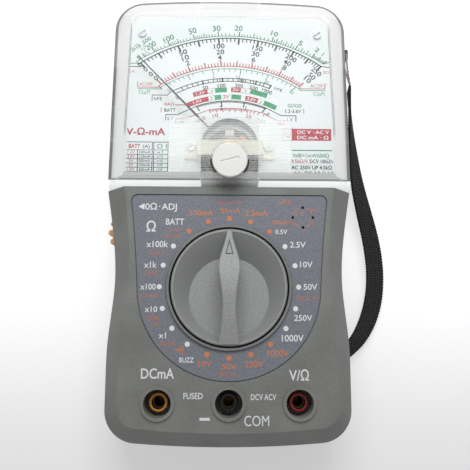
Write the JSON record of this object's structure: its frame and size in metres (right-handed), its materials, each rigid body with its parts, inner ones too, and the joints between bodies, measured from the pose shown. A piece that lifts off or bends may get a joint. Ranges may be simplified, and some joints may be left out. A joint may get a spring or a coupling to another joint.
{
  "type": "analogue multimeter",
  "caption": "Handheld analogue multimeter: moving-coil dial under a clear cover, rotary range switch, three test-lead jacks, zero-ohm thumbwheel and wrist strap.",
  "frame": {"origin": "centre of the bounding box on the plane the case's back lies on, strap left out", "axes": "+Z out of the face, +Y from the jacks toward the dial, +X to the right as the dial is read"},
  "size_m": [0.1163, 0.1737, 0.042],
  "materials": {
    "case_plastic": "fine grained",
    "rear_plastic": "fine grained",
    "panel_film": "printed matt film",
    "clear_plastic": "clear gloss, ribbed low down",
    "knob_plastic": "satin rim, grained dish",
    "white_plastic": "gloss",
    "dial_card": "printed matt",
    "black_plastic": "satin",
    "red_plastic": "gloss",
    "yellow_plastic": "gloss",
    "wheel_plastic": "gloss",
    "movement_plastic": "satin",
    "brass": "bright",
    "steel": "satin",
    "iron": "satin",
    "copper_coil": "varnished winding",
    "needle_paint": "matt black paint",
    "board": "solder mask",
    "resistor_body": "lacquered",
    "fuse_glass": "clear",
    "cell_sleeve": "printed sleeve, plain",
    "block_sleeve": "printed sleeve, plain",
    "webbing": "woven",
    "thread": "twisted"
  },
  "bodies": {
    "case": {"case_back": "rear_plastic", "case_front": "case_plastic", "label_panel": "panel_film", "meter_cover": "clear_plastic", "scale_plate": "dial_card", "yoke_ring": "iron", "core_magnet": "iron", "core_bridges": "movement_plastic", "upper_bridge": "movement_plastic", "lower_bridge": "movement_plastic", "jewel_screws": "brass", "plate_screws": "steel", "detent_balls": "steel", "detent_springs": "steel", "jack_bush_left": "yellow_plastic", "jack_bush_centre": "black_plastic", "jack_bush_right": "red_plastic", "jack_sleeves": "brass", "circuit_board": "board", "contact_tracks": "brass", "resistors": "resistor_body", "fuse": "fuse_glass", "fuse_clips": "brass", "buzzer": "black_plastic", "ohm_potentiometer": "black_plastic", "hfe_socket": "black_plastic", "hfe_contacts": "brass", "round_cell_1": "cell_sleeve", "round_cell_2": "cell_sleeve", "cell_contacts": "steel", "block_battery": "block_sleeve", "block_connector": "black_plastic", "case_screws": "steel", "strap_lug": "black_plastic", "strap": "webbing", "strap_thread": "thread"},
    "knob": {"range_knob": "knob_plastic", "knob_clip": "steel", "switch_rotor": "white_plastic", "wipers": "brass", "rotor_screw": "steel"},
    "movement": {"needle": "needle_paint", "moving_coil": "copper_coil", "coil_pivots": "steel", "hairspring_upper": "brass", "hairspring_lower": "brass"},
    "zero_adjuster": {"zero_adjuster": "white_plastic"},
    "zero_lever": {"zero_lever": "brass"},
    "ohm_wheel": {"ohm_wheel": "wheel_plastic"},
    "battery_door": {"battery_door": "rear_plastic", "door_screws": "steel"}
  },
  "joints": [
    {"name": "knob_turn", "type": "hinge", "parent": "case", "child": "knob", "pos_m": [0, -0.0277, 0.03], "axis": [0, 0, 1], "continuous": true},
    {"name": "needle_swing", "type": "hinge", "parent": "case", "child": "movement", "pos_m": [0, 0.0253, 0.03], "axis": [0, 0, -1], "range_deg": [-2, 92], "stiffness_Nm_per_rad": 0.00002},
    {"name": "zero_adjust", "type": "hinge", "parent": "case", "child": "zero_adjuster", "pos_m": [0, 0.019, 0.04], "axis": [0, 0, 1], "range_deg": [-45, 45]},
    {"name": "zero_lever_swing", "type": "hinge", "parent": "case", "child": "zero_lever", "pos_m": [0, 0.0253, 0.037], "axis": [0, 0, 1], "range_deg": [-7, 7]},
    {"name": "ohm_wheel_turn", "type": "hinge", "parent": "case", "child": "ohm_wheel", "pos_m": [-0.0395, -0.0053, 0.018], "axis": [0, 0, 1], "range_deg": [-135, 135]},
    {"name": "battery_door_lift", "type": "slide", "parent": "case", "child": "battery_door", "axis": [0, 0, -1], "range_m": [0, 0.03]}
  ],
  "couplings": [
    {"joint": "zero_lever_swing", "follows": "zero_adjust", "ratio": 0.137}
  ]
}
